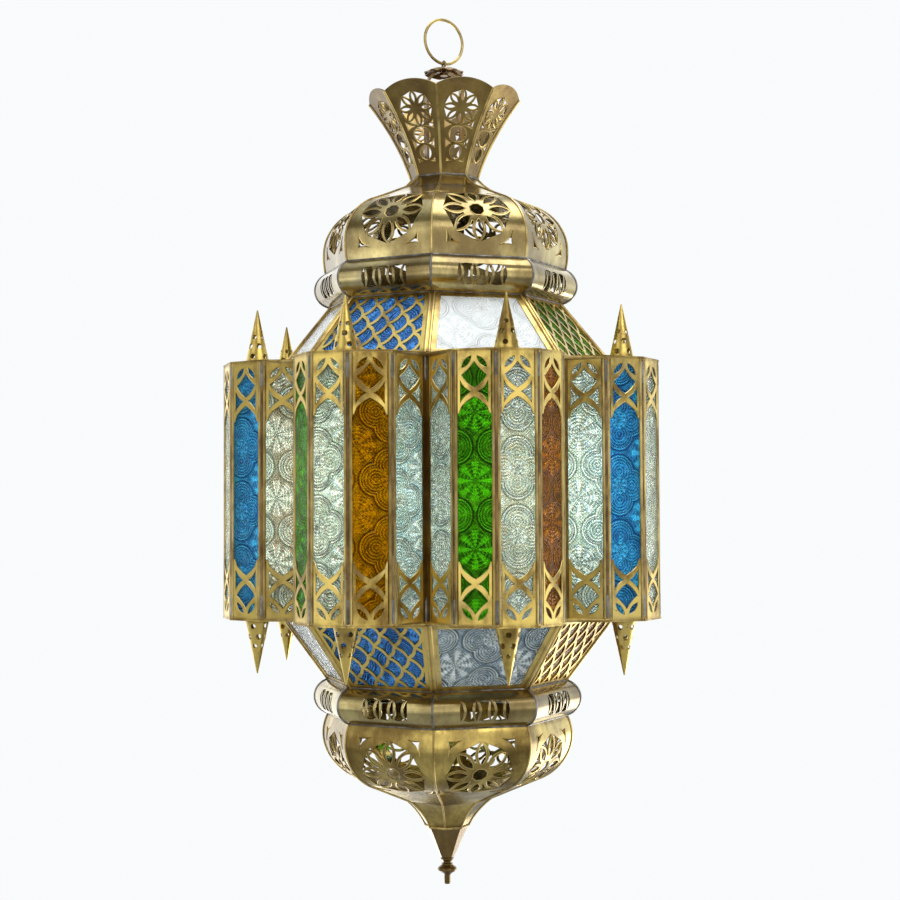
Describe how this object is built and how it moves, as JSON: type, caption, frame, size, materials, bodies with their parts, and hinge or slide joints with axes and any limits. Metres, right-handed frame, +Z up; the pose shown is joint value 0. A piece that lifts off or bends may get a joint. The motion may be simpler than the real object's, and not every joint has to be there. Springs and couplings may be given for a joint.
{
  "type": "hanging lantern",
  "caption": "Eight-sided hanging lantern of pierced brass sheet and coloured pressed glass, with a star-shaped body, spikes, a swivel ring and a hinged lamp door.",
  "frame": {"origin": "the hang point: the lowest point of the hook's seat, on the inside of the ring's top, on the lantern's axis", "axes": "+Z up along the lantern's axis, -Y towards the bay that is nearest the camera in the picture, +X to the right of that bay seen from outside"},
  "size_m": [0.3594, 0.3594, 0.7077],
  "materials": {
    "aged_brass": "aged, semi-gloss",
    "soldered_brass": "aged, with grey solder",
    "dark_brass": "dark patina",
    "clear_glass": "pressed pattern",
    "green_glass": "pressed pattern",
    "brown_glass": "pressed pattern",
    "blue_glass": "pressed pattern",
    "amber_glass": "pressed pattern",
    "lampholder_body": "moulded, black"
  },
  "bodies": {
    "lantern": {"amber_panes": "amber_glass", "bay_bottom_plates": "aged_brass", "bay_top_plates": "aged_brass", "blue_panes": "blue_glass", "bottom_overlays": "aged_brass", "bottom_spikes": "aged_brass", "brown_panes": "brown_glass", "clear_panes": "clear_glass", "crown_panels": "aged_brass", "crown_ribs": "aged_brass", "door_hinge_pin": "dark_brass", "door_hinge_rail": "soldered_brass", "door_sill": "soldered_brass", "finial": "aged_brass", "green_panes": "green_glass", "hanger_stirrup": "dark_brass", "inner_cames": "soldered_brass", "lamp_shell": "aged_brass", "lamp_tube": "aged_brass", "lampholder_body": "lampholder_body", "lower_dome_petals": "aged_brass", "lower_moulding": "aged_brass", "lower_shoulder_amber_panes": "amber_glass", "lower_shoulder_blue_panes": "blue_glass", "lower_shoulder_cames": "soldered_brass", "lower_shoulder_clear_panes": "clear_glass", "lower_shoulder_frames": "soldered_brass", "lower_shoulder_lattices": "aged_brass", "neck_plate": "aged_brass", "outer_cames": "soldered_brass", "rosette_cap": "dark_brass", "tip_collar": "aged_brass", "tip_cone": "aged_brass", "top_overlays": "aged_brass", "top_spikes": "aged_brass", "upper_dome_petals": "aged_brass", "upper_moulding": "aged_brass", "upper_shoulder_blue_panes": "blue_glass", "upper_shoulder_cames": "soldered_brass", "upper_shoulder_clear_panes": "clear_glass", "upper_shoulder_frames": "soldered_brass", "upper_shoulder_green_panes": "green_glass", "upper_shoulder_lattices": "aged_brass"},
    "eye": {"swivel_eye": "dark_brass", "eye_nut": "dark_brass"},
    "ring": {"hanging_ring": "dark_brass"},
    "door": {"door_frame": "soldered_brass", "door_pane": "clear_glass", "door_pull": "aged_brass"}
  },
  "joints": [
    {"name": "eye_swivel", "type": "hinge", "parent": "lantern", "child": "eye", "pos_m": [0, 0, -0.045], "axis": [0, 0, 1], "continuous": true},
    {"name": "ring_swing", "type": "hinge", "parent": "eye", "child": "ring", "pos_m": [0, 0, -0.0354], "axis": [0.9603, 0.279, 0], "range_deg": [-80, 80]},
    {"name": "door_lift", "type": "hinge", "parent": "lantern", "child": "door", "pos_m": [0, 0.09357, -0.24164], "axis": [1, 0, 0], "range_deg": [0, 100]}
  ]
}
